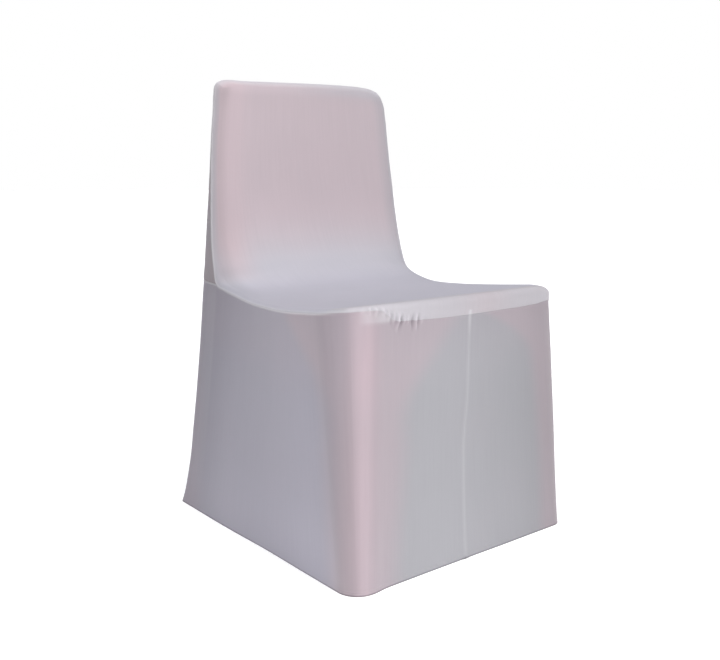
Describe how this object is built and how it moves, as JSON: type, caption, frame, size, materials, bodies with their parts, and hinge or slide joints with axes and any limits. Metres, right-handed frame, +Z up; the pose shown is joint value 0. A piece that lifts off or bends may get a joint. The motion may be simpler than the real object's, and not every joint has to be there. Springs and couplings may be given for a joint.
{
  "type": "fitted stretch chair cover",
  "caption": "Fitted stretch cover for a low-backed chair: rounded hood over the back, smooth seat with a rolled front lip and a skirt that flares to a squared floor-length hem.",
  "frame": {"origin": "on the floor under the middle of the hem's outline", "axes": "+Z up, +X towards the right side as seen from the front, -Y towards the front"},
  "size_m": [0.507, 0.5474, 0.8146],
  "materials": {
    "inner_panel": "smooth matt stretch knit",
    "outer_back": "smooth matt stretch knit",
    "skirt": "smooth matt stretch knit"
  },
  "bodies": {
    "root": {"inner_panel": "inner_panel", "outer_back": "outer_back", "skirt": "skirt"}
  },
  "joints": []
}
